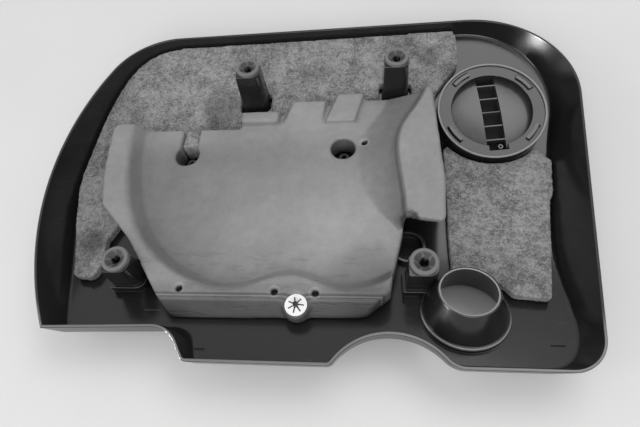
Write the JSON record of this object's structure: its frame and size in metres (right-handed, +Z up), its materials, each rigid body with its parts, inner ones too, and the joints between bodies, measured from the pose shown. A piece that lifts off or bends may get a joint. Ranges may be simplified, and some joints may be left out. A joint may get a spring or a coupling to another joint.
{
  "type": "engine cover",
  "caption": "Dished engine cover lying on its outer face, with a foam block, felt pads, rubber ball sockets on towers, a filler collar and a round snap-in badge plate.",
  "frame": {"origin": "on the flat middle of the outer face, which lies on the table", "axes": "+X to the right as the cover lies with its low front lip nearest, +Y to the back, +Z up out of the inside"},
  "size_m": [0.5581, 0.3994, 0.075],
  "materials": {
    "shell_plastic": "satin black moulding",
    "badge_plastic": "gloss black moulding",
    "felt": "needled felt with light fibres",
    "foam": "moulded foam with a smooth skin",
    "rubber": "matt",
    "nut_steel": "white coated spring steel"
  },
  "bodies": {
    "root": {"cover_shell": "shell_plastic", "badge_insert": "badge_plastic", "felt_pad_left": "felt", "felt_pad_right": "felt", "foam_block": "foam", "grommet_back_left": "rubber", "grommet_back_right": "rubber", "grommet_front_left": "rubber", "grommet_front_right": "rubber", "push_nut": "nut_steel"}
  },
  "joints": []
}
